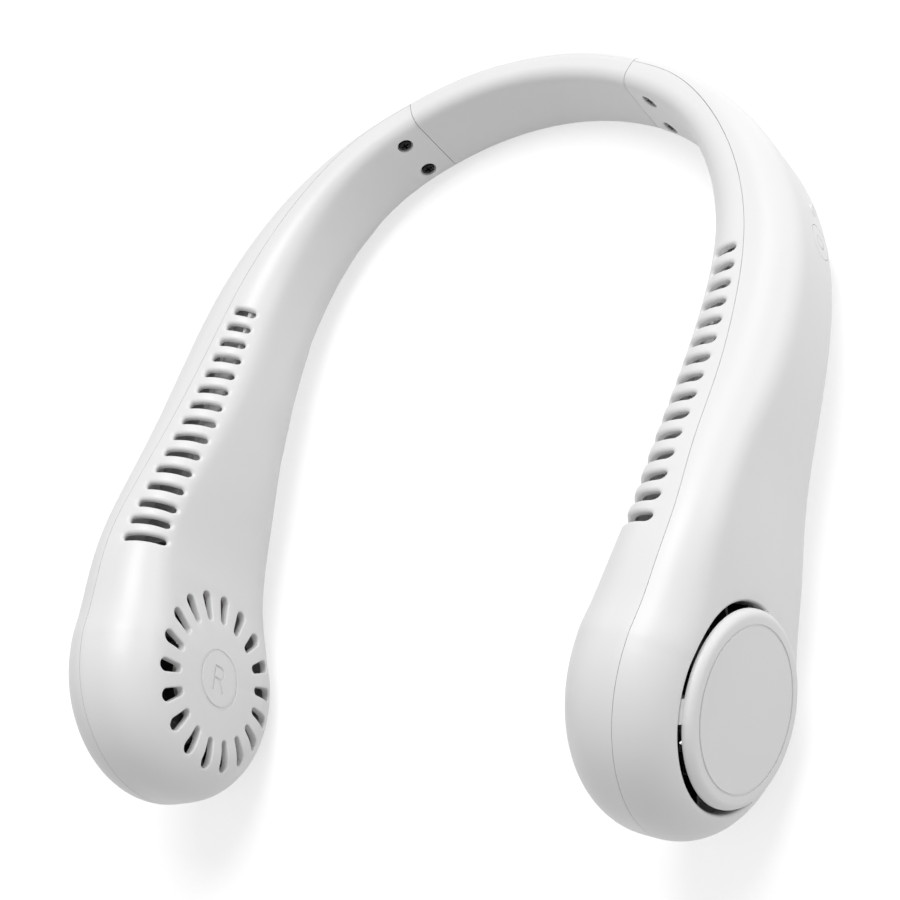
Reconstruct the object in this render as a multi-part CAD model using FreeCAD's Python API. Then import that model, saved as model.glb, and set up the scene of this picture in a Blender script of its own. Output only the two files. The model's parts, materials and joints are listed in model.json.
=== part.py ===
import FreeCAD, Part
import math
import os

Vector = FreeCAD.Vector

# Millimetres. The fan lies on its back with the air slots up: X runs across the two arms, Y from the
# round fan ends towards the neckband, Z up. While it is modelled, the route of the arms lies at Z zero and
# ends near Y zero; the finished pieces are then tilted and moved so that the fan rests on Z zero.

# Overall route of the arms, seen from above
neck_reach = 169.0
arm_half_span = 79.5
tip_lean = 9.5
route_shares = [(0, 1), (0.365, 0.969), (0.635, 0.90), (0.933, 0.706), (0.998, 0.4255), (0.986, 0.256),
                (0.932, -0.006)]

# Sections of the band and of the round fan end
band_thickness = 8.4
band_half_depth = 12.2
tip_thickness = 28.0
tip_radius = 31.7
tip_rise = 1.6
arm_rise = 4.1
tip_roll = 2.5
roll_start_share = 0.76
wall = 2.0
fit_gap = 0.15
seam_gap = 0.2
shell_gap = 0.12
overrun = 5.0

# Stations along an arm from the band joint to the fan end: place along the route, then thickness and
# depth as blends from the band to the fan end, and the rise of the section's middle
joint_share = 0.164
band_rise_share = -0.17
station_shares = [
    (0.164, 0.02, 0.00, -0.15),
    (0.22, 0.08, 0.005, -0.08),
    (0.30, 0.21, 0.03, 0.00),
    (0.40, 0.47, 0.085, -0.06),
    (0.50, 0.70, 0.145, 0.00),
    (0.60, 0.84, 0.225, 0.25),
    (0.70, 0.835, 0.365, 0.66),
    (0.79, 0.75, 0.575, 0.95),
    (0.86, 0.76, 0.735, 0.97),
    (0.92, 0.86, 0.855, 0.74),
]
round_shares = [(0.21, 0.985), (0.1, 1), (0, 1)]

# Corner radii as shares of the local thickness: place along the route, then the front inner, front outer,
# back outer and back inner corner
corner_shares = [
    (0, 0.40, 0.40, 0.40, 0.46),
    (0.55, 0.36, 0.37, 0.46, 0.48),
    (0.86, 0.37, 0.38, 0.47, 0.48),
    (1, 0.44, 0.42, 0.42, 0.44),
]

# Seam between the inner and the outer shell: place along the route, then the share of the local thickness
# from the section's middle outwards
seam_shares = [(0, 0.26), (0.22, 0.22), (0.30, 0.08), (0.40, -0.02), (0.50, -0.03), (0.60, 0), (0.75, 0.08),
               (0.86, 0.11), (1, 0.10)]

# Air slots over the front inner edge of each arm
slot_count = 15
slot_pitch = 5.34
slot_width = 2.2
slot_from_tip = 27.6
slot_outer_shares = (-0.12, -0.07)
slot_sweep_shares = (0.53, 0.78)
slot_standoff = 3.6
slot_round = 0.9
slot_end_inset = 0.4

# Radial intake grille round the side mark on the inner face of each fan end
grille_count = 18
grille_outer_radius = 23.2
grille_inner_radius = 15.4
grille_outer_width = 3.4
grille_inner_width = 2.2
grille_round = 0.4
mark_radius = 7.4
mark_line = 1.0
mark_depth = 0.4
letter_line = 0.7
letter_height = 6.2
letter_width = 4.0

# Intake cap on the outer face of each fan end
cap_radius = 21.2
cap_slit = 1.15
cap_proud = 1.6
cap_plate = 2.0
cap_skirt = 2.1
cap_rim_round = 1.9
cap_step_radius = 17.8
cap_step_line = 0.6
cap_step_depth = 0.3
bridge_count = 3
bridge_width = 5.1
bridge_angle = -21.5
bridge_foot = 2.6
bridge_foot_thickness = 0.9
bridge_inner = 15.0
bridge_drop = 0.3
collar_depth = 2.1
collar_wall = 2.9
opening_round = 0.7

# Fan axis, motor and impeller
fan_drop = 1.5
fan_rise = 0.3
motor_lift = 1.0
motor_radius = 11.0
motor_height = 8.0
motor_ear_reach = 13.4
motor_ear_radius = 2.0
motor_ear_thickness = 1.2
motor_seat_wall = 1.2
motor_seat_height = 2.4
post_radius = 1.9
post_height = 2.5
shaft_radius = 1.0
running_gap = 0.03
bush_radius = 2.2
bush_length = 3.0
shaft_bottom_gap = 0.8
shaft_room = 0.6
impeller_radius = 22.8
impeller_eye_radius = 14.8
impeller_disc = 1.2
impeller_disc_place = 0.2
blade_count = 15
blade_thickness = 0.9
blade_lower = 8.8
blade_upper = 8.2
blade_arc_radius = 14.0
hub_radius = 4.6
hub_top = 4.2
hub_gap = 0.8
spoke_count = 5
spoke_width = 3.0
motor_screw_radius = 0.8
motor_screw_head = 1.5
motor_screw_head_height = 0.9
motor_screw_length = 3.0

# Air divider with its two flow vanes, and the cell under it
divider_thickness = 1.2
divider_top_arch = 11.0
divider_top_tip = 12.0
divider_shares = (0.475, 0.84)
vane_offsets = (-4.5, 1.5)
vane_height = 1.6
vane_thickness = 0.8
cell_length = 40.0
cell_width = 15.0
cell_thickness = 8.5
cell_from_tip = 74.0
cell_round = 1.6
cell_gap = 0.1

# Band, its end inserts, spine and link cable
insert_band_share = 0.127
insert_arm_share = 0.221
spine_thickness = 0.8
spine_width = 9.0
spine_place = -4.2
cable_radius = 1.0
cable_place = 2.2
core_share = 0.144
cable_end_share = 0.244
recess_round = 0.3
band_screw_share = 0.1965
band_screw_spread = 11.9
band_screw_place = -0.55
band_screw_radius = 1.0
band_screw_head = 1.8
band_screw_head_height = 1.2
band_screw_length = 5.0
band_screw_sink = 1.35
band_screw_recess = 2.15
cross_width = 0.5
cross_length = 2.2
cross_depth = 0.7

# Power button with its switch, board, indicator lamp and charging socket, in the arm marked L
button_share = 0.493
button_place = -2.2
button_radius = 4.4
button_gap = 0.15
button_flange = 1.2
button_flange_thickness = 1.0
button_travel = 0.5
button_stem_radius = 1.6
symbol_radius = 1.7
symbol_line = 0.4
symbol_depth = 0.25
symbol_open_angle = 60.0
board_length = 24.0
board_height = 15.0
board_thickness = 1.0
board_place = 2.6
board_post_radius = 1.5
board_post_share = 0.40
switch_side = 4.6
switch_height = 1.8
plunger_radius = 1.1
plunger_height = 0.5
lamp_length = 1.6
lamp_width = 0.9
lamp_height = 0.7
lamp_shift = 5.2
socket_width = 8.94
socket_height = 3.26
socket_length = 7.3
socket_wall = 0.3
socket_depth = 5.8
socket_sunk = 0.5
socket_gap = 0.2

z_axis = Vector(0, 0, 1)
x_axis = Vector(1, 0, 0)


def route_curve():
    points = [Vector(arm_half_span * x, neck_reach * y, 0) for x, y in route_shares]
    lean = math.radians(tip_lean)
    curve = Part.BSplineCurve()
    curve.interpolate(Points=points, InitialTangent=x_axis,
                      FinalTangent=Vector(-math.sin(lean), -math.cos(lean), 0))
    return curve


route = route_curve()
route_length = route.length()


class Station:
    """A place along the route: its point, its outward direction and the arm's section there."""

    def __init__(self, share):
        turn = -1 if share < 0 else 1
        place = route.parameterAtDistance(abs(share) * route_length, route.FirstParameter)
        point = route.value(place)
        along = Vector(*route.tangent(place)[0])
        self.point = Vector(turn * point.x, point.y, 0)
        self.along = Vector(along.x, turn * along.y, 0)
        level = Vector(-self.along.y, self.along.x, 0)
        roll = math.radians(tip_roll) * max(0, (share - roll_start_share) / (1 - roll_start_share))
        self.out = level * math.cos(roll) + z_axis * math.sin(roll)
        self.front = z_axis * math.cos(roll) - level * math.sin(roll)
        self.thickness, self.half_depth, self.rise = table_row(sections, abs(share))
        self.corners = [self.thickness * part for part in table_row(corner_shares, abs(share))]

    def at(self, out, up, along=0):
        return self.point + self.out * out + self.front * up + self.along * along


def blend(start, end, share):
    return start + (end - start) * share


def section_table():
    rows = [(0, 0, 0, band_rise_share)] + station_shares
    table = [(share, blend(band_thickness, tip_thickness, thick),
              blend(band_half_depth, tip_radius, deep), arm_rise * rise)
             for share, thick, deep, rise in rows]
    for share, thick in round_shares:
        half = tip_radius * math.sqrt(1 - share * share)
        table.append((1 - share * tip_radius / route_length, tip_thickness * thick, half, tip_rise))
    return table


sections = section_table()


def table_row(table, share):
    for low, high in zip(table, table[1:]):
        if share <= high[0]:
            part = (share - low[0]) / (high[0] - low[0])
            return [blend(a, b, part) for a, b in zip(low[1:], high[1:])]
    return list(table[-1][1:])


def arc_edge(centre, start, end):
    middle = centre + ((start - centre) + (end - centre)).normalize() * (start - centre).Length
    return Part.Arc(start, middle, end).toShape()


def line_edge(start, end):
    return Part.LineSegment(start, end).toShape()


def section_wire(station, inset):
    half = station.thickness / 2 - inset
    top = station.rise + station.half_depth - inset
    bottom = station.rise - station.half_depth + inset
    front_in, front_out, back_out, back_in = [radius - inset for radius in station.corners]
    at = station.at
    corners = [
        (at(-half + front_in, top - front_in), at(-half, top - front_in), at(-half + front_in, top)),
        (at(half - front_out, top - front_out), at(half - front_out, top), at(half, top - front_out)),
        (at(half - back_out, bottom + back_out), at(half, bottom + back_out), at(half - back_out, bottom)),
        (at(-half + back_in, bottom + back_in), at(-half + back_in, bottom), at(-half, bottom + back_in)),
    ]
    edges = []
    for number, (centre, start, end) in enumerate(corners):
        following = corners[(number + 1) % len(corners)][1]
        edges.append(arc_edge(centre, start, end))
        edges.append(line_edge(end, following))
    return Part.Wire(edges)


def loft_between(shares, inset):
    wires = [section_wire(Station(share), inset) for share in shares]
    return Part.makeLoft(wires, True, False)


def tip_round(inset):
    """The round end: half of the last section, turned half way round the fan end's middle."""
    station = Station(1)
    half = station.thickness / 2 - inset
    reach = station.half_depth - inset
    inner, outer = [radius - inset for radius in station.corners[:2]]
    at = lambda out, up: station.at(out, station.rise + up)
    edges = [
        line_edge(at(-half, 0), at(-half, reach - inner)),
        arc_edge(at(-half + inner, reach - inner), at(-half, reach - inner), at(-half + inner, reach)),
        line_edge(at(-half + inner, reach), at(half - outer, reach)),
        arc_edge(at(half - outer, reach - outer), at(half - outer, reach), at(half, reach - outer)),
        line_edge(at(half, reach - outer), at(half, 0)),
        line_edge(at(half, 0), at(-half, 0)),
    ]
    return Part.Face(Part.Wire(edges)).revolve(at(0, 0), station.out, 180)


def arm_shares(start):
    return [start] + [row[0] for row in sections if row[0] > start]


def arm_body(start, inset):
    return loft_between(arm_shares(start), inset).fuse(tip_round(inset)).removeSplitter()


def seam_region(shift):
    """Everything outside the seam between the two shells, seen from above."""
    shares = [joint_share / 2] + arm_shares(joint_share)
    points = []
    for share in shares:
        station = Station(share)
        place = station.at(station.thickness * table_row(seam_shares, share)[0] + shift, 0)
        points.append(Vector(place.x, place.y, 0))
    last = Station(1)
    first = Station(shares[0])
    end = points[-1] + last.along * (tip_radius + overrun)
    curve = Part.BSplineCurve()
    curve.interpolate(Points=points, InitialTangent=first.along, FinalTangent=last.along)
    far_tip = end + x_axis * neck_reach
    far_band = points[0] + first.out * neck_reach
    outline = Part.Wire([curve.toShape(), line_edge(points[-1], end), line_edge(end, far_tip),
                         line_edge(far_tip, far_band), line_edge(far_band, points[0])])
    height = 2 * (tip_radius + overrun)
    face = Part.Face(outline)
    face.translate(z_axis * (-height / 2))
    return face.extrude(z_axis * height)


def stadium_face(centre, along, across, length, width):
    half = length / 2 - width / 2
    side = width / 2
    corner = lambda a, b: centre + along * a + across * b
    edges = [
        line_edge(corner(-half, -side), corner(half, -side)),
        Part.Arc(corner(half, -side), corner(half + side, 0), corner(half, side)).toShape(),
        line_edge(corner(half, side), corner(-half, side)),
        Part.Arc(corner(-half, side), corner(-half - side, 0), corner(-half, -side)).toShape(),
    ]
    return Part.Face(Part.Wire(edges))


def slot_frame(number):
    """One air slot over the front inner edge: its chord's ends, the way along the arm and the way into it."""
    done = number / (slot_count - 1)
    from_tip = slot_from_tip + slot_pitch * (slot_count - 1 - number)
    station = Station(1 - from_tip / route_length)
    inner = station.corners[0]
    front = station.rise + station.half_depth
    turn = math.radians(90) * blend(*slot_sweep_shares, done)
    start = station.at(station.thickness * blend(*slot_outer_shares, done), front)
    end_out = -station.thickness / 2 + inner - inner * math.sin(turn)
    end = station.at(end_out, front - inner + inner * math.cos(turn))
    return start, end, station.along, station.along.cross(end - start).normalize()


def slot_cutter(number):
    start, end, along, inward = slot_frame(number)
    length = (end - start).Length
    centre = (start + end) / 2 - inward * slot_standoff
    face = stadium_face(centre, (end - start).normalize(), along, length - 2 * slot_end_inset, slot_width)
    return face.extrude(inward * (slot_standoff + length))


def fan_frame():
    """The fan axis: its point midway through the fan end, and the directions out, front and to the band."""
    station = Station(1)
    return station.at(0, fan_rise, fan_drop), station.out, station.front, -station.along


fan_point, fan_out, fan_front, fan_back = fan_frame()


def on_fan(out, front, back):
    return fan_point + fan_out * out + fan_front * front + fan_back * back


def fan_disc(radius, low, high):
    return Part.makeCylinder(radius, high - low, on_fan(low, 0, 0), fan_out)


def fan_ring(outer, inner, low, high):
    return fan_disc(outer, low, high).cut(fan_disc(inner, low - overrun, high + overrun))


def fan_polar(radius, angle):
    """Front and back parts of a point at a radius and an angle from the front towards the band."""
    turn = math.radians(angle)
    return radius * math.cos(turn), radius * math.sin(turn)


def fan_block(near, far, width, angle, low, high):
    """A block that points away from the fan axis at an angle."""
    front, back = fan_polar(1, angle)
    radial = fan_front * front + fan_back * back
    across = fan_out.cross(radial)
    start = on_fan(low, 0, 0)
    corners = [start + radial * r + across * (width * s / 2)
               for r, s in ((near, -1), (far, -1), (far, 1), (near, 1))]
    return Part.Face(Part.makePolygon(corners + corners[:1])).extrude(fan_out * (high - low))


face_in = -tip_thickness / 2
face_out = tip_thickness / 2
floor_in = face_in + wall
motor_base = floor_in + motor_lift
motor_top = motor_base + motor_height
cap_opening = cap_radius + cap_slit
collar_low = face_out - wall - collar_depth
board_top = board_place + board_thickness


def grille_cutter(number):
    """One radial opening, wider at its outer end, with both ends round."""
    angle = 360 / grille_count * number
    front, back = fan_polar(1, angle + 90)
    radial = fan_front * front + fan_back * back
    across = fan_out.cross(radial)
    wide = grille_outer_width / 2
    narrow = grille_inner_width / 2
    far = grille_outer_radius - wide
    near = grille_inner_radius + narrow
    slope = math.asin((wide - narrow) / (far - near))
    base = on_fan(face_in - overrun, 0, 0)
    spot = lambda r, s: base + radial * r + across * s
    edge = lambda centre, size, side: spot(centre - size * math.sin(slope), side * size * math.cos(slope))
    edges = [
        Part.Arc(edge(far, wide, -1), spot(far + wide, 0), edge(far, wide, 1)).toShape(),
        line_edge(edge(far, wide, 1), edge(near, narrow, 1)),
        Part.Arc(edge(near, narrow, 1), spot(near - narrow, 0), edge(near, narrow, -1)).toShape(),
        line_edge(edge(near, narrow, -1), edge(far, wide, -1)),
    ]
    return Part.Face(Part.Wire(edges)).extrude(fan_out * (overrun + wall + grille_outer_width))


def letter_strokes(mirrored):
    """The strokes of a plain side letter as start and end points: reading direction and height."""
    half = letter_width / 2
    tall = letter_height / 2
    if mirrored:
        return [(-half, tall, -half, -tall), (-half, tall, 0, tall), (-half, 0, 0, 0),
                (0, 0, half, -tall)], (0, tall / 2, tall / 2)
    return [(-half, tall, -half, -tall), (-half, -tall, half, -tall)], None


def mark_cutter(mirrored):
    """The ring and the side letter that are sunk into the inner face."""
    low = face_in - overrun
    high = face_in + mark_depth
    cut = fan_ring(mark_radius + mark_line / 2, mark_radius - mark_line / 2, low, high)
    reading = 1 if mirrored else -1
    strokes, bowl = letter_strokes(mirrored)
    spot = lambda across, tall: on_fan(low, -reading * across, tall)
    for x0, y0, x1, y1 in strokes:
        start = spot(x0, y0)
        end = spot(x1, y1)
        along = (end - start).normalize()
        face = stadium_face((start + end) / 2, along, fan_out.cross(along),
                            (end - start).Length + letter_line, letter_line)
        cut = cut.fuse(face.extrude(fan_out * (high - low)))
    if bowl:
        x0, y0, size = bowl
        outer = size + letter_line / 2
        inner = size - letter_line / 2
        edges = [
            Part.Arc(spot(x0, y0 + outer), spot(x0 + outer, y0), spot(x0, y0 - outer)).toShape(),
            line_edge(spot(x0, y0 - outer), spot(x0, y0 - inner)),
            Part.Arc(spot(x0, y0 - inner), spot(x0 + inner, y0), spot(x0, y0 + inner)).toShape(),
            line_edge(spot(x0, y0 + inner), spot(x0, y0 + outer)),
        ]
        cut = cut.fuse(Part.Face(Part.Wire(edges)).extrude(fan_out * (high - low)))
    return cut


def motor_ears():
    return [on_fan(motor_base, 0, side * motor_ear_reach) for side in (1, -1)]


def lips(body, test):
    """The edges of a body whose middle passes a test."""
    found = []
    for edge in body.Edges:
        if test(edge.valueAt((edge.FirstParameter + edge.LastParameter) / 2)):
            found.append(edge)
    return found


def fan_out_of(point):
    return (point - fan_point).dot(fan_out)


def fan_radius_of(point):
    return ((point - fan_point) - fan_out * fan_out_of(point)).Length


def carve_slots(body):
    cutters = [slot_cutter(number) for number in range(slot_count)]
    body = body.cut(cutters)
    for number, cutter in enumerate(cutters):
        start, _, _, inward = slot_frame(number)

        def on_lip(spot):
            return (spot - start).dot(inward) < slot_standoff / 2 and \
                cutter.BoundBox.isInside(spot) and cutter.isInside(spot, seam_gap, True)
        body = body.makeFillet(slot_round, lips(body, on_lip))
    return body


def carve_grille(body):
    body = body.cut([grille_cutter(number) for number in range(grille_count)])
    near = grille_inner_radius - grille_round
    far = grille_outer_radius + grille_round

    def on_lip(spot):
        return near < fan_radius_of(spot) < far and fan_out_of(spot) < floor_in + wall
    return body.makeFillet(grille_round, lips(body, on_lip))


def carve_opening(body):
    body = body.cut(fan_disc(cap_opening, collar_low - overrun, face_out + overrun))

    def on_lip(spot):
        return abs(fan_radius_of(spot) - cap_opening) < seam_gap and fan_out_of(spot) > collar_low
    return body.makeFillet(opening_round, lips(body, on_lip))


def carve_recesses(body):
    for station, place in band_screw_spots():
        face = -station.thickness / 2
        base = station.at(face - overrun, place)
        body = body.cut(Part.makeCylinder(band_screw_recess, overrun + band_screw_sink, base, station.out))
        centre = station.at(face, place)

        def on_lip(spot):
            return (spot - centre).Length < band_screw_recess + seam_gap and \
                (spot - centre).dot(station.out) < band_screw_sink / 2
        body = body.makeFillet(recess_round, lips(body, on_lip))
    return body


def arm_shell(body, cavity):
    """The hollow arm with its openings, still in one piece; a collar stays round the cap's opening."""
    body = carve_recesses(carve_opening(carve_grille(carve_slots(body))))
    collar = fan_ring(cap_opening + collar_wall, cap_opening, collar_low, face_out + overrun)
    return body.cut(cavity.cut(collar))


def inner_shell(shell):
    """The shell next to the neck, with the motor's seat and the band screws' holes."""
    body = shell.cut(seam_region(-shell_gap / 2))
    seat_radius = motor_radius + fit_gap + motor_seat_wall
    seat = fan_disc(seat_radius, floor_in - fit_gap, motor_base)
    ring = fan_ring(seat_radius, motor_radius + fit_gap, motor_base, motor_base + motor_seat_height)
    body = body.fuse([seat, ring])
    for spot in motor_ears():
        depth = motor_lift + fit_gap
        post = Part.makeCylinder(post_radius, post_height + depth, spot - fan_out * depth, fan_out)
        body = body.fuse(post)
        body = body.cut(Part.makeCylinder(motor_screw_radius + running_gap, post_height, spot, fan_out))
    for station, place in band_screw_spots():
        base = station.at(-station.thickness / 2, place)
        body = body.cut(Part.makeCylinder(band_screw_radius + running_gap, station.thickness / 2, base,
                                          station.out))
    return body


def outer_shell(shell):
    """The shell away from the neck."""
    return shell.common(seam_region(shell_gap / 2))


def with_controls(body):
    """The outer shell of one arm, with the button hole, the board's posts and the socket's mouth."""
    station = Station(button_share)
    for side in (1, -1):
        base = station.at(board_top, button_place, side * board_length * board_post_share)
        post = Part.makeCylinder(board_post_radius, station.thickness / 2 - board_top - wall / 2, base,
                                 station.out)
        body = body.fuse(post)
    hole = Part.makeCylinder(button_radius + button_gap, wall + 2 * overrun,
                             station.at(station.thickness / 2 - wall - overrun, button_place),
                             station.out)
    return body.cut([hole, socket_block(socket_gap, overrun)])


def intake_cap(inside):
    """The round cap over the fan, with a sunk ring and three bridges that hold under the opening's rim."""
    top = face_out + cap_proud
    low = top - cap_skirt
    cap = fan_disc(cap_radius, low, top)
    rim = [edge for edge in cap.Edges if edge.Curve.TypeId == "Part::GeomCircle"
           and (edge.Curve.Center - fan_point).dot(fan_out) > top - fit_gap]
    cap = cap.makeFillet(cap_rim_round, rim)
    cap = cap.cut(fan_disc(cap_radius - cap_plate, low - overrun, top - cap_plate))
    cap = cap.cut(fan_ring(cap_step_radius + cap_step_line / 2, cap_step_radius - cap_step_line / 2,
                           top - cap_step_depth, top + overrun))
    foot_top = collar_low - fit_gap
    foot_low = foot_top - bridge_foot_thickness
    for number in range(bridge_count):
        angle = bridge_angle + 360 / bridge_count * number
        web = fan_block(bridge_inner, cap_opening, bridge_width, angle, foot_low, face_out - bridge_drop)
        web = web.common(fan_disc(cap_opening - fit_gap, foot_low, face_out))
        foot = fan_block(bridge_inner, cap_opening + bridge_foot, bridge_width, angle, foot_low, foot_top)
        cap = cap.fuse([web, foot.common(inside)])
    return cap.removeSplitter()


def motor_can():
    """The motor's can with its two screw ears, bored for the bush and the shaft."""
    can = fan_disc(motor_radius, motor_base, motor_top)
    low = motor_base + post_height
    for side, spot in zip((1, -1), motor_ears()):
        ear = Part.makeCylinder(motor_ear_radius, motor_ear_thickness, spot + fan_out * post_height, fan_out)
        arm = fan_block(motor_radius - motor_ear_radius, motor_ear_reach, 2 * motor_ear_radius, 90 * side,
                        low, low + motor_ear_thickness)
        can = can.fuse([ear, arm])
        can = can.cut(Part.makeCylinder(motor_screw_radius + running_gap, overrun, spot, fan_out))
    bush_bore = fan_disc(bush_radius, motor_top - bush_length, motor_top + overrun)
    shaft_bore = fan_disc(shaft_radius + shaft_room, motor_base + shaft_bottom_gap, motor_top)
    return can.cut([bush_bore, shaft_bore])


def motor_bush():
    return fan_ring(bush_radius, shaft_radius + running_gap, motor_top - bush_length, motor_top)


def motor_shaft():
    return fan_disc(shaft_radius, motor_base + 2 * shaft_bottom_gap, hub_top)


def motor_screws():
    screws = []
    for spot in motor_ears():
        head = spot + fan_out * (post_height + motor_ear_thickness)
        screw = Part.makeCylinder(motor_screw_head, motor_screw_head_height, head, fan_out)
        screw = screw.fuse(Part.makeCylinder(motor_screw_radius, motor_screw_length, head, -fan_out))
        screws.append(screw)
    return Part.Compound(screws)


def impeller():
    """A double-sided blower wheel: a hub on spokes, a rim disc and curved blades on both of its faces."""
    low = impeller_disc_place
    high = low + impeller_disc
    wheel = fan_ring(impeller_radius, impeller_eye_radius, low, high)
    wheel = wheel.fuse(fan_disc(hub_radius, motor_top + hub_gap, hub_top))
    for number in range(spoke_count):
        wheel = wheel.fuse(fan_block(0, impeller_eye_radius + spoke_width / 2, spoke_width,
                                     360 / spoke_count * number, low, high))
    bottom = on_fan(-blade_lower, 0, 0)
    for number in range(blade_count):
        wheel = wheel.fuse(blade(360 / blade_count * number, bottom))
    return wheel.cut(fan_disc(shaft_radius, -tip_thickness, tip_thickness)).removeSplitter()


def blade(angle, bottom):
    """One blade: an arc from the eye to the rim, extruded along the axis."""
    near = impeller_eye_radius + blade_thickness
    far = impeller_radius - blade_thickness / 2
    front, back = fan_polar(1, angle)
    radial = fan_front * front + fan_back * back
    across = fan_out.cross(radial)
    chord = far - near
    lead = chord / 2
    start = bottom + radial * near
    end = bottom + radial * (far * math.cos(lead / far)) + across * (far * math.sin(lead / far))
    run = end - start
    side = fan_out.cross(run).normalize()
    sag = blade_arc_radius - math.sqrt(blade_arc_radius ** 2 - (run.Length / 2) ** 2)
    half = blade_thickness / 2
    middle = start + run * (1 / 2) - side * sag
    edges = [
        Part.Arc(start + side * half, middle + side * half, end + side * half).toShape(),
        line_edge(end + side * half, end - side * half),
        Part.Arc(end - side * half, middle - side * half, start - side * half).toShape(),
        line_edge(start - side * half, start + side * half),
    ]
    return Part.Face(Part.Wire(edges)).extrude(fan_out * (blade_lower + blade_upper))


def divider_frame():
    """The divider's slanted upper face: a point at its arch end, its run towards the fan, and its normal."""
    first = Station(divider_shares[0])
    last = Station(divider_shares[1])
    start = Vector(first.point.x, first.point.y, divider_top_arch)
    run = Vector(last.point.x, last.point.y, divider_top_tip) - start
    across = z_axis.cross(run).normalize()
    normal = run.cross(across).normalize()
    return start, run, across, normal


def slab(start, run, across, normal, low, high, half_width):
    corners = [start + run * a + across * (half_width * b) + normal * low
               for a, b in ((0, -1), (1, -1), (1, 1), (0, 1))]
    return Part.Face(Part.makePolygon(corners + corners[:1])).extrude(normal * (high - low))


def air_divider(cavity_fit):
    """The slanted plate that parts the air duct from the cell, with an end wall and two flow vanes."""
    start, run, across, normal = divider_frame()
    plate = slab(start, run, across, normal, -divider_thickness, 0, tip_radius)
    ahead = run.normalize()
    wall_run = ahead * divider_thickness
    end_wall = slab(start, wall_run, across, normal, -divider_thickness, tip_radius, tip_radius)
    piece = plate.fuse(end_wall).common(cavity_fit)
    length = (Station(divider_shares[1]).point - Station(divider_shares[0]).point).Length
    for offset in vane_offsets:
        base = start + across * offset
        vane = slab(base, ahead * length, across, normal, -divider_thickness / 2, vane_height,
                    vane_thickness / 2)
        piece = piece.fuse(vane.common(cavity_fit))
    return piece.removeSplitter()


def cell():
    """A pouch cell held to the underside of the divider."""
    start, run, across, normal = divider_frame()
    ahead = run.normalize()
    middle = Station(1 - cell_from_tip / route_length).point
    reach = (middle - Vector(start.x, start.y, 0)).Length
    base = start + ahead * (reach - cell_length / 2) - normal * (divider_thickness + cell_gap)
    body = slab(base, ahead * cell_length, across, normal, -cell_thickness, 0, cell_width / 2)
    return body.makeFillet(cell_round, body.Edges)


def band_screw_spots():
    station = Station(band_screw_share)
    return [(station, band_screw_place + side * band_screw_spread / 2) for side in (1, -1)]


def band_screws():
    screws = []
    for station, place in band_screw_spots():
        seat = -station.thickness / 2 + band_screw_sink
        base = station.at(seat, place)
        screw = Part.makeCylinder(band_screw_head, band_screw_head_height, base, -station.out)
        rim = [edge for edge in screw.Edges if edge.Curve.TypeId == "Part::GeomCircle"
               and (edge.Curve.Center - base).Length > band_screw_head_height / 2]
        screw = screw.makeFillet(band_screw_head_height / 2, rim)
        screw = screw.fuse(Part.makeCylinder(band_screw_radius, band_screw_length, base, station.out))
        top = base - station.out * band_screw_head_height
        for along, across in ((station.along, z_axis), (z_axis, station.along)):
            start = top - along * (cross_length / 2)
            screw = screw.cut(slab(start, along * cross_length, across, station.out, -overrun, cross_depth,
                                   cross_width / 2))
        screws.append(screw)
    return Part.Compound(screws)


def core_arc(share, place):
    """The arc along the band's middle that its spine and cable follow, at a height."""
    top = Station(0).at(0, place)
    side = Station(core_share).at(0, place)
    sag = top.y - side.y
    radius = (side.x ** 2 + sag ** 2) / (2 * sag)
    turn = math.asin(side.x / radius) * share / core_share
    end_x = radius * math.sin(turn)
    end_y = top.y - radius + radius * math.cos(turn)
    ends = [Vector(sign * end_x, end_y, place) for sign in (-1, 1)]
    return Part.Wire([Part.Arc(ends[0], top, ends[1]).toShape()])


def swept(profile, path):
    return path.makePipeShell([profile], True, True)


def spine_solid(share, gap):
    path = core_arc(share, spine_place)
    start = path.Edges[0].valueAt(path.Edges[0].FirstParameter)
    along = path.Edges[0].tangentAt(path.Edges[0].FirstParameter)
    out = Vector(-along.y, along.x, 0)
    half = spine_thickness / 2 + gap
    tall = spine_width / 2 + gap
    corners = [start + out * (half * a) + z_axis * (tall * b)
               for a, b in ((-1, -1), (1, -1), (1, 1), (-1, 1))]
    return swept(Part.makePolygon(corners + corners[:1]), path)


def cable_solid(share, gap):
    path = core_arc(share, cable_place)
    start = path.Edges[0].valueAt(path.Edges[0].FirstParameter)
    along = path.Edges[0].tangentAt(path.Edges[0].FirstParameter)
    profile = Part.Wire([Part.Circle(start, along, cable_radius + gap).toShape()])
    return swept(profile, path)


def neckband():
    """The soft band between the arms, with pockets for the end inserts and a core for spine and cable."""
    gap = seam_gap / route_length
    end = joint_share - gap
    shares = [end * step for step in (-1, -2 / 3, -1 / 3, 0, 1 / 3, 2 / 3, 1)]
    body = loft_between(shares, 0)
    deep = insert_band_share - fit_gap / route_length
    middle = (deep + joint_share + gap) / 2
    pocket = loft_between([deep, middle, joint_share + gap], wall)
    for piece in (pocket, other_side(pocket)):
        body = body.cut(piece)
    return body.cut([spine_solid(core_share, fit_gap), cable_solid(core_share, fit_gap)])


def band_insert():
    """The stiff block that joins the band's end to the arm, drilled for the screws, spine and cable."""
    shares = [insert_band_share, (insert_band_share + joint_share) / 2, joint_share,
              (insert_arm_share + joint_share) / 2, insert_arm_share]
    body = loft_between(shares, wall + 2 * fit_gap)
    cutters = [spine_solid(core_share + fit_gap / route_length, fit_gap),
               cable_solid(cable_end_share + core_share, fit_gap)]
    for station, place in band_screw_spots():
        base = station.at(-station.thickness / 2, place)
        cutters.append(Part.makeCylinder(band_screw_radius + running_gap, station.thickness, base,
                                         station.out))
    return body.cut(cutters)


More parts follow.
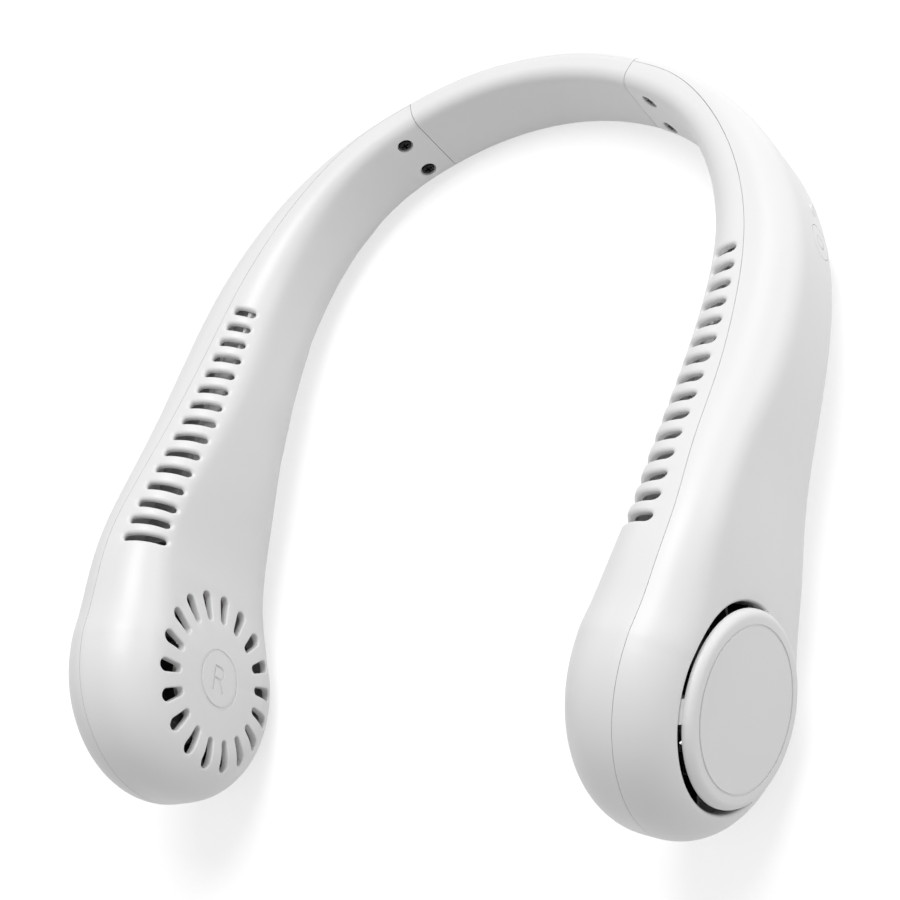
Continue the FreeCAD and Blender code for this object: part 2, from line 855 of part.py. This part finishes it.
def socket_block(gap, beyond):
    """The charging socket's outline on the board, opening downwards through the back of the arm."""
    station = Station(button_share)
    back = station.rise - station.half_depth
    out = board_place + board_thickness + socket_height / 2
    centre = station.at(out, back + socket_sunk - beyond)
    face = stadium_face(centre, station.along, station.out, socket_width + 2 * gap, socket_height + 2 * gap)
    return face.extrude(z_axis * (socket_length + beyond))


def charge_socket():
    station = Station(button_share)
    back = station.rise - station.half_depth + socket_sunk
    out = board_place + board_thickness + socket_height / 2
    body = socket_block(0, 0)
    inside = stadium_face(station.at(out, back), station.along, station.out, socket_width - 2 * socket_wall,
                          socket_height - 2 * socket_wall)
    body = body.cut(inside.extrude(z_axis * socket_depth))
    tongue = slab(station.at(out, back + socket_wall), z_axis * socket_depth, station.along, station.out,
                  -socket_wall, socket_wall, socket_width / 2 - socket_height / 2)
    return body.fuse(tongue)


def board_box(out_low, out_high, length, height, along=0, up=button_place):
    station = Station(button_share)
    start = station.at(0, up, along - length / 2)
    return slab(start, station.along * length, z_axis, station.out, out_low, out_high, height / 2)


def control_board():
    return board_box(board_place, board_top, board_length, board_height)


def tact_switch():
    station = Station(button_share)
    body = board_box(board_top, board_top + switch_height, switch_side, switch_side)
    plunger = Part.makeCylinder(plunger_radius, plunger_height,
                                station.at(board_top + switch_height, button_place), station.out)
    return body.fuse(plunger)


def status_lamp():
    return board_box(board_top, board_top + lamp_height, lamp_length, lamp_width, 0,
                     button_place + lamp_shift)


def power_button(body, inside):
    """The push button: its face follows the shell, with a flange inside the wall and a stem to the switch."""
    station = Station(button_share)
    under = station.thickness / 2 - wall - button_gap
    stem_low = board_top + switch_height + plunger_height + button_travel + running_gap
    head = Part.makeCylinder(button_radius, wall + overrun, station.at(under, button_place), station.out)
    head = head.common(body)
    flange = Part.makeCylinder(button_radius + button_flange, button_flange_thickness,
                               station.at(under - button_flange_thickness, button_place), station.out)
    stem = Part.makeCylinder(button_stem_radius, under - stem_low, station.at(stem_low, button_place),
                             station.out)
    button = head.fuse([flange.common(inside), stem])
    level = station.thickness / 2 - symbol_depth
    base = station.at(level, button_place)
    ring = Part.makeCylinder(symbol_radius + symbol_line / 2, overrun, base, station.out)
    ring = ring.cut(Part.makeCylinder(symbol_radius - symbol_line / 2, overrun, base, station.out))
    half_open = symbol_radius * math.tan(math.radians(symbol_open_angle / 2))
    gap = slab(base, station.along * (-2 * symbol_radius), z_axis, station.out, 0, overrun, half_open)
    bar = slab(base - station.along * (symbol_radius / 4), station.along * -symbol_radius, z_axis,
               station.out, 0, overrun, symbol_line / 2)
    return button.cut([ring.cut(gap), bar])


def other_side(shape):
    return shape.mirror(Vector(0, 0, 0), x_axis)


def arm_pieces():
    """Every piece of both arms: made at +X for the arm marked L, and turned over for the arm marked R."""
    body = arm_body(joint_share, 0)
    cavity = arm_body(joint_share - overrun / route_length, wall)
    inside = arm_body(joint_share, wall + fit_gap)
    shell = arm_shell(body, cavity)
    inner = inner_shell(shell)
    outer = outer_shell(shell)
    alike = {
        "intake_cap": intake_cap(inside),
        "motor_can": motor_can(),
        "motor_bush": motor_bush(),
        "motor_shaft": motor_shaft(),
        "motor_screws": motor_screws(),
        "impeller": impeller(),
        "air_divider": air_divider(inside),
        "battery_cell": cell(),
        "band_insert": band_insert(),
        "band_screws": band_screws(),
    }
    pieces = {
        "left_inner_shell": inner.cut(mark_cutter(False)),
        "right_inner_shell": other_side(inner.cut(mark_cutter(True))),
        "left_outer_shell": with_controls(outer),
        "right_outer_shell": other_side(outer),
        "power_button": power_button(body, inside),
        "control_board": control_board(),
        "tact_switch": tact_switch(),
        "status_lamp": status_lamp(),
        "charge_socket": charge_socket(),
    }
    for name, shape in alike.items():
        pieces["left_" + name] = shape
        pieces["right_" + name] = other_side(shape)
    return pieces


def resting_placement(pieces):
    """Tilts the fan about X until the fan ends and the band lie on one level, and sets that level to zero."""
    drop = (tip_radius - tip_rise) - (band_half_depth - arm_rise * band_rise_share)
    tilt = FreeCAD.Rotation(x_axis, -math.degrees(math.atan2(drop, neck_reach)))
    turned = FreeCAD.Placement(Vector(0, 0, 0), tilt)
    box = FreeCAD.BoundBox()
    for shape in pieces.values():
        copy = shape.copy()
        copy.Placement = turned
        box.add(copy.optimalBoundingBox())
    return FreeCAD.Placement(Vector(0, -(box.YMin + box.YMax) / 2, -box.ZMin), tilt)


def main():
    os.makedirs("parts", exist_ok=True)
    pieces = {"neckband": neckband(), "band_spine": spine_solid(core_share, 0),
              "link_cable": cable_solid(cable_end_share, 0)}
    pieces.update(arm_pieces())
    resting = resting_placement(pieces)
    for name, shape in pieces.items():
        shape.Placement = resting.multiply(shape.Placement)
        shape.exportStep("parts/" + name + ".step")
        print(name, shape.isValid(), len(shape.Solids), round(shape.Volume, 1))
    print("placed at", resting)


main()
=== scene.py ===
import json
import math
import bmesh
import bpy
from mathutils import Matrix, Vector
from mathutils.bvhtree import BVHTree


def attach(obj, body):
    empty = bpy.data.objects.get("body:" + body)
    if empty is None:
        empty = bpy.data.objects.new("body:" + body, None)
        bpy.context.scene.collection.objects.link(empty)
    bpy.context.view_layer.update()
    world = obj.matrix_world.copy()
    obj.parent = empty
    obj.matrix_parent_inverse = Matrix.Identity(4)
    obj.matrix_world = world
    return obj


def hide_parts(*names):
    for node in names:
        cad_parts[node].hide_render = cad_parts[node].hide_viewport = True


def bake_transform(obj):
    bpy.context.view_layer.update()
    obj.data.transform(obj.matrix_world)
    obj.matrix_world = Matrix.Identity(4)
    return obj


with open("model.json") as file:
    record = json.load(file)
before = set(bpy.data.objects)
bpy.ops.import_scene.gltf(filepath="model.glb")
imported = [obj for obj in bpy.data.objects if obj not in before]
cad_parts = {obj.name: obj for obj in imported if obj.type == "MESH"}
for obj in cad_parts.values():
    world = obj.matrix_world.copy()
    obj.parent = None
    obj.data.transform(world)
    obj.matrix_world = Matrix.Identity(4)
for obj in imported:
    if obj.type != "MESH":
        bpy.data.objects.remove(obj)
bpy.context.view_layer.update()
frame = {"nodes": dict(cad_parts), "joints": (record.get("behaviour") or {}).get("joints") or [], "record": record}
nodes = frame["nodes"]
mm = 0.001
scene = bpy.context.scene
scene.view_settings.view_transform = "Standard"
nodeSlots = {entry["node"]: entry["material_slot"] for entry in frame["record"]["subparts"]}
print("frame loaded:", len(nodes), "nodes")


def srgb(hexCode):
    # sRGB hex to the linear values that the shaders use
    parts = [int(hexCode[i:i + 2], 16) / 255 for i in (1, 3, 5)]
    linear = [c / 12.92 if c <= 0.04045 else ((c + 0.055) / 1.055) ** 2.4 for c in parts]
    return (*linear, 1)


def addNode(tree, kind, settings=None, links=None):
    # settings are properties or input values, links are input name to source socket
    node = tree.nodes.new(kind)
    for key, value in (settings or {}).items():
        if isinstance(key, str) and key in node.bl_rna.properties:
            setattr(node, key, value)
        else:
            node.inputs[key].default_value = value
    for key, source in (links or {}).items():
        tree.links.new(source, node.inputs[key])
    return node


def newMaterial(name):
    material = bpy.data.materials.new(name)
    material.use_nodes = True
    material.node_tree.nodes.clear()
    return material, material.node_tree


def finishMaterial(tree, look, cloud, grain, strength, depthMm, fixed):
    # colour and gloss follow one pattern, the surface's small relief follows the other
    tint = addNode(tree, "ShaderNodeMix", {"data_type": "RGBA"}, {"Factor": cloud.outputs["Fac"]})
    tint.inputs[6].default_value = srgb(look["colour"])
    tint.inputs[7].default_value = srgb(look["secondColour"])
    rough = addNode(tree, "ShaderNodeMapRange",
                    {"To Min": look["roughness"] - look["roughSpread"],
                     "To Max": look["roughness"] + look["roughSpread"]},
                    {"Value": cloud.outputs["Fac"]})
    bump = addNode(tree, "ShaderNodeBump", {"Strength": strength, "Distance": depthMm * mm},
                   {"Height": grain.outputs["Fac"]})
    shader = addNode(tree, "ShaderNodeBsdfPrincipled", fixed,
                     {"Base Color": tint.outputs[2], "Roughness": rough.outputs["Result"],
                      "Normal": bump.outputs["Normal"]})
    addNode(tree, "ShaderNodeOutputMaterial", None, {"Surface": shader.outputs["BSDF"]})


def mouldedPlastic(name, look):
    # moulded plastic: even colour, faint flow clouds and the mould's grain, drawn coarser than real to show
    material, tree = newMaterial(name)
    place = addNode(tree, "ShaderNodeTexCoord").outputs["Object"]
    flow = addNode(tree, "ShaderNodeTexNoise", {"Scale": 1 / (look["flowMm"] * mm), "Detail": 3.0},
                   {"Vector": place})
    grain = addNode(tree, "ShaderNodeTexNoise", {"Scale": 1 / (look["grainMm"] * mm), "Detail": 2.0},
                    {"Vector": place})
    finishMaterial(tree, look, flow, grain, look["grainStrength"], look["grainDepthMm"],
                   {"IOR": look["ior"]})
    return material


def workedMetal(name, look):
    # drawn, rolled or pressed metal: fine lines vary its gloss
    material, tree = newMaterial(name)
    place = addNode(tree, "ShaderNodeTexCoord").outputs["Object"]
    drawn = addNode(tree, "ShaderNodeMapping", {"Scale": look["lineStretch"]}, {"Vector": place})
    lines = addNode(tree, "ShaderNodeTexNoise", {"Scale": 1 / (look["lineMm"] * mm), "Detail": 3.0},
                    {"Vector": drawn.outputs["Vector"]})
    finishMaterial(tree, look, lines, lines, 0.2, look["lineDepthMm"], {"Metallic": 1.0})
    return material


# shells, caps and button: satin white that keeps a soft, broad highlight
whiteAbsLook = {"colour": "#F3F3F3", "secondColour": "#EFEFEF", "flowMm": 26,
                "roughness": 0.40, "roughSpread": 0.03, "ior": 1.53,
                "grainMm": 0.5, "grainStrength": 0.15, "grainDepthMm": 0.02}
# band: a little softer and duller than the shells
whiteBandLook = {"colour": "#F2F2F2", "secondColour": "#EDEDED", "flowMm": 20,
                 "roughness": 0.46, "roughSpread": 0.03, "ior": 1.50,
                 "grainMm": 0.5, "grainStrength": 0.18, "grainDepthMm": 0.02}
# divider and insert: a light grey in place of white, painted shade for the arm's inside, that shows as mid grey
# through the slots
greyShadeDividerLook = {"colour": "#CECECE", "secondColour": "#C6C6C6", "flowMm": 14,
               "roughness": 0.5, "roughSpread": 0.04, "ior": 1.53,
               "grainMm": 0.5, "grainStrength": 0.2, "grainDepthMm": 0.03}
# impeller and switch: near black, so that the openings read dark
blackPlasticLook = {"colour": "#191919", "secondColour": "#141414", "flowMm": 10,
                    "roughness": 0.45, "roughSpread": 0.05, "ior": 1.53,
                    "grainMm": 0.4, "grainStrength": 0.2, "grainDepthMm": 0.03}
# control board: glossy green mask
boardLook = {"colour": "#1B5E38", "secondColour": "#174F30", "flowMm": 3,
             "roughness": 0.3, "roughSpread": 0.05, "ior": 1.5,
             "grainMm": 0.8, "grainStrength": 0.3, "grainDepthMm": 0.03}
# status lamp: pale, smooth resin
lampLook = {"colour": "#E8EEE4", "secondColour": "#DDE6D8", "flowMm": 1,
            "roughness": 0.2, "roughSpread": 0.03, "ior": 1.5,
            "grainMm": 0.3, "grainStrength": 0.1, "grainDepthMm": 0.01}
# cable: dull black jacket
cableLook = {"colour": "#1E1E1E", "secondColour": "#191919", "flowMm": 4,
             "roughness": 0.55, "roughSpread": 0.05, "ior": 1.5,
             "grainMm": 0.4, "grainStrength": 0.2, "grainDepthMm": 0.03}
# motor, shaft, spine and socket: bright steel with long drawing lines
steelLook = {"colour": "#B4B5B8", "secondColour": "#9C9DA0", "roughness": 0.3, "roughSpread": 0.06,
             "lineMm": 0.6, "lineStretch": (1, 1, 0.05), "lineDepthMm": 0.01}
# bush: dull, speckled bronze
bronzeLook = {"colour": "#A9803F", "secondColour": "#8C6A34", "roughness": 0.45, "roughSpread": 0.05,
              "lineMm": 0.3, "lineStretch": (1, 1, 1), "lineDepthMm": 0.02}
# screws: black with a faint metal sheen on the cross recess
blackScrewLook = {"colour": "#2A2A2B", "secondColour": "#1C1C1D", "roughness": 0.32, "roughSpread": 0.06,
                  "lineMm": 0.4, "lineStretch": (1, 1, 1), "lineDepthMm": 0.01}
# cell: crinkled silver foil
foilLook = {"colour": "#C4C6C9", "secondColour": "#AEB0B3", "roughness": 0.35, "roughSpread": 0.08,
            "lineMm": 4, "lineStretch": (1, 1, 1), "lineDepthMm": 0.2}

whiteBand = mouldedPlastic("white_tpe_moulded", whiteBandLook)
drawnSteel = workedMetal("drawn_steel", steelLook)
slotMaterials = {
    "white_abs": mouldedPlastic("white_abs_spark_moulded", whiteAbsLook),
    "white_band": whiteBand,
    # the divider's grey is painted shade for the inside seen through the slots
    "grey_abs": mouldedPlastic("grey_painted_shade_moulded", greyShadeDividerLook),
    "black_plastic": mouldedPlastic("black_abs_moulded", blackPlasticLook),
    "green_board": mouldedPlastic("fr4_solder_mask", boardLook),
    "lamp_lens": mouldedPlastic("epoxy_lamp_lens", lampLook),
    "cable_jacket": mouldedPlastic("black_pvc_extruded", cableLook),
    "motor_steel": drawnSteel,
    "socket_steel": drawnSteel,
    "spring_steel": drawnSteel,
    "sintered_bronze": workedMetal("sintered_bronze", bronzeLook),
    "black_screws": workedMetal("black_oxide_steel", blackScrewLook),
    "cell_foil": workedMetal("aluminium_pouch_foil", foilLook),
}


def dress(piece, material):
    piece.data.materials.clear()
    piece.data.materials.append(material)


def smoothShade(piece, weldMm=0.002, creaseDegrees=32):
    piece.data.polygons.foreach_set("use_smooth", [True] * len(piece.data.polygons))
    weld = piece.modifiers.new("weld", "WELD")
    weld.merge_threshold = weldMm * mm
    split = piece.modifiers.new("crease", "EDGE_SPLIT")
    split.split_angle = math.radians(creaseDegrees)


for name, node in nodes.items():
    dress(node, slotMaterials[nodeSlots[name]])
    smoothShade(node)
print("materials on", len(nodes), "nodes")

bandBend = {"blendFromMm": 3.0, "blendToMm": 31.0, "ringStepMm": 1.2}


def bendWithBand(piece):
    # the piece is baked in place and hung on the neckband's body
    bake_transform(piece)
    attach(piece, "neckband")


def sideName(side):
    return "left" if side > 0 else "right"


def bandHalf(nodeName, side):
    # half of a node that crosses the middle, cut into rings
    made = bmesh.new()
    made.from_mesh(nodes[nodeName].data)
    bmesh.ops.remove_doubles(made, verts=made.verts, dist=0.002 * mm)
    reach = max(abs(v.co.x) for v in made.verts)
    bmesh.ops.bisect_plane(made, geom=made.verts[:] + made.edges[:] + made.faces[:],
                           plane_co=(0, 0, 0), plane_no=(side, 0, 0), clear_inner=True)
    steps = int(reach / (bandBend["ringStepMm"] * mm))
    for step in range(1, steps):
        bmesh.ops.bisect_plane(made, geom=made.verts[:] + made.edges[:] + made.faces[:],
                               plane_co=(side * reach * step / steps, 0, 0), plane_no=(side, 0, 0))
    mesh = bpy.data.meshes.new(f"{nodeName}_{sideName(side)}_half")
    made.to_mesh(mesh)
    made.free()
    piece = bpy.data.objects.new(mesh.name, mesh)
    scene.collection.objects.link(piece)
    dress(piece, slotMaterials[nodeSlots[nodeName]])
    smoothShade(piece)
    bendWithBand(piece)
    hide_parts(nodeName)


for nodeName in ("neckband", "band_spine", "link_cable"):
    for side in (1, -1):
        bandHalf(nodeName, side)
print("band halves made")

mouldLine = {"placeShare": 0.76, "radiusMm": 0.2, "sunkMm": 0.11, "stepMm": 0.9, "sides": 10,
             "probeMm": 12.0}


def beadTree():
    # a fine round bead along a path of edges
    tree = bpy.data.node_groups.new("surfaceBead", "GeometryNodeTree")
    for name, kind in (("Path", "Geometry"), ("Radius", "Float"), ("Sides", "Int"), ("Material", "Material")):
        tree.interface.new_socket(name=name, in_out="INPUT", socket_type="NodeSocket" + kind)
    tree.interface.new_socket(name="Bead", in_out="OUTPUT", socket_type="NodeSocketGeometry")
    given = addNode(tree, "NodeGroupInput").outputs
    curve = addNode(tree, "GeometryNodeMeshToCurve", None, {"Mesh": given["Path"]})
    profile = addNode(tree, "GeometryNodeCurvePrimitiveCircle", None,
                      {"Resolution": given["Sides"], "Radius": given["Radius"]})
    swept = addNode(tree, "GeometryNodeCurveToMesh", {"Fill Caps": True},
                    {"Curve": curve.outputs["Curve"], "Profile Curve": profile.outputs["Curve"]})
    single = addNode(tree, "GeometryNodeRealizeInstances", None, {"Geometry": swept.outputs["Mesh"]})
    dressed = addNode(tree, "GeometryNodeSetMaterial", None,
                      {"Geometry": single.outputs["Geometry"], "Material": given["Material"]})
    addNode(tree, "NodeGroupOutput", None, {"Bead": dressed.outputs["Geometry"]})
    return tree


def mouldLinePath(side):
    # rays from the centre of the band's curve find both faces, a ray from the front the line's place
    mesh = nodes["neckband"].data
    surface = BVHTree.FromPolygons([v.co for v in mesh.vertices], [p.vertices[:] for p in mesh.polygons])
    up = Vector(frame["joints"][0]["axis"])
    back = up.cross(Vector((1, 0, 0)))
    heights = [v.co.dot(up) for v in mesh.vertices]
    level = up * (min(heights) + max(heights)) / 2
    far = 1.0

    def innerFace(across):
        return surface.ray_cast(level + Vector((across, 0, 0)), back)[0].dot(back)

    probe = mouldLine["probeMm"] * mm
    drop = innerFace(0) - innerFace(side * probe)
    radius = (probe ** 2 + drop ** 2) / (2 * drop)
    centre = level + back * (innerFace(0) - radius)
    points = []
    while True:
        angle = len(points) * mouldLine["stepMm"] * mm / radius
        ray = Vector((side * math.sin(angle), 0, 0)) + back * math.cos(angle)
        near = surface.ray_cast(centre, ray)[0]
        outer = surface.ray_cast(centre + ray * far, -ray)[0]
        if near is None or outer is None:
            return points
        spot = near.lerp(outer, mouldLine["placeShare"])
        front = surface.ray_cast(spot + up * far, -up)[0]
        points.append(front - up * mouldLine["sunkMm"] * mm)


def bandLine(side, tree):
    # the faint mould line that runs on over the band's front from one arm's seam to the other's
    points = mouldLinePath(side)
    path = bpy.data.meshes.new(f"mouldLinePath_{sideName(side)}")
    path.from_pydata(points, [(i, i + 1) for i in range(len(points) - 1)], [])
    piece = bpy.data.objects.new(f"neckband_{sideName(side)}_line", path)
    scene.collection.objects.link(piece)
    modifier = piece.modifiers.new("bead", "NODES")
    modifier.node_group = tree
    values = {"Radius": mouldLine["radiusMm"] * mm, "Sides": mouldLine["sides"], "Material": whiteBand}
    for item in tree.interface.items_tree:
        if item.in_out == "INPUT" and item.name in values:
            modifier[item.identifier] = values[item.name]
    bpy.context.view_layer.update()
    made = bpy.data.meshes.new_from_object(piece.evaluated_get(bpy.context.evaluated_depsgraph_get()))
    piece.modifiers.remove(modifier)
    piece.data = made
    made.polygons.foreach_set("use_smooth", [True] * len(made.polygons))
    bendWithBand(piece)
    print("mould line:", piece.name, len(made.vertices), "points")


bead = beadTree()
for side in (1, -1):
    bandLine(side, bead)

photoCamera = {"place": (0.2635, -0.15341, 0.38139), "forward": (-0.5695, 0.3072, -0.7624),
               "right": (0.8202, 0.1503, -0.5521), "lensMm": 75.0, "sensorMm": 36.0}


def addCamera(setup):
    back = -Vector(setup["forward"]).normalized()
    right = Vector(setup["right"])
    right = (right - back * right.dot(back)).normalized()
    turn = Matrix((right, back.cross(right), back)).transposed().to_4x4()
    data = bpy.data.cameras.new("photoCamera")
    data.lens = setup["lensMm"]
    data.sensor_width = setup["sensorMm"]
    camera = bpy.data.objects.new("photoCamera", data)
    camera.matrix_world = Matrix.Translation(setup["place"]) @ turn
    scene.collection.objects.link(camera)
    scene.camera = camera


addCamera(photoCamera)

stage = {"floorSizeM": 6.0, "floorColour": "#D4D4D4", "glow": 0.58, "worldStrength": 0.45}


def addFloor(setup):
    # plain pale floor that the camera sees white, with the fan's shadow on it
    half = setup["floorSizeM"] / 2
    mesh = bpy.data.meshes.new("floor")
    corners = [(-half, -half, 0), (half, -half, 0), (half, half, 0), (-half, half, 0)]
    mesh.from_pydata(corners, [], [(0, 1, 2, 3)])
    floor = bpy.data.objects.new("floor", mesh)
    scene.collection.objects.link(floor)
    material, tree = newMaterial("white_paper_sweep")
    path = addNode(tree, "ShaderNodeLightPath").outputs
    direct = addNode(tree, "ShaderNodeMath", {"operation": "MAXIMUM"},
                     {0: path["Is Camera Ray"], 1: path["Is Glossy Ray"]})
    seen = addNode(tree, "ShaderNodeMath", {"operation": "MAXIMUM"},
                   {0: direct.outputs[0], 1: path["Is Transmission Ray"]})
    glow = addNode(tree, "ShaderNodeMath", {"operation": "MULTIPLY", 1: setup["glow"]}, {0: seen.outputs[0]})
    paper = addNode(tree, "ShaderNodeBsdfDiffuse", {"Color": srgb(setup["floorColour"])})
    light = addNode(tree, "ShaderNodeEmission", {"Color": (1, 1, 1, 1)}, {"Strength": glow.outputs[0]})
    both = addNode(tree, "ShaderNodeAddShader", None, {0: paper.outputs[0], 1: light.outputs[0]})
    addNode(tree, "ShaderNodeOutputMaterial", None, {"Surface": both.outputs[0]})
    mesh.materials.append(material)


def addWorld(setup):
    world = bpy.data.worlds.new("studio")
    world.use_nodes = True
    tree = world.node_tree
    tree.nodes.clear()
    sky = addNode(tree, "ShaderNodeBackground", {"Color": (1, 1, 1, 1), "Strength": setup["worldStrength"]})
    addNode(tree, "ShaderNodeOutputWorld", None, {"Surface": sky.outputs[0]})
    scene.world = world


lamps = [
    {"name": "overheadSoftbox", "place": (0.12, 0.42, 0.86), "aim": (0, 0, 0.03), "sizeM": 0.55,
     "watts": 5.2},
    {"name": "sideSoftbox", "place": (0.75, 0.45, 0.16), "aim": (0.06, 0, 0.04), "sizeM": 0.4,
     "watts": 1.15},
]


def addLamp(setup):
    data = bpy.data.lights.new(setup["name"], "AREA")
    data.shape = "SQUARE"
    data.size = setup["sizeM"]
    data.energy = setup["watts"]
    lamp = bpy.data.objects.new(setup["name"], data)
    lamp.location = setup["place"]
    towards = Vector(setup["aim"]) - Vector(setup["place"])
    lamp.rotation_euler = towards.to_track_quat("-Z", "Y").to_euler()
    scene.collection.objects.link(lamp)


addFloor(stage)
addWorld(stage)
for setup in lamps:
    addLamp(setup)
print("stage, lamps and camera set")
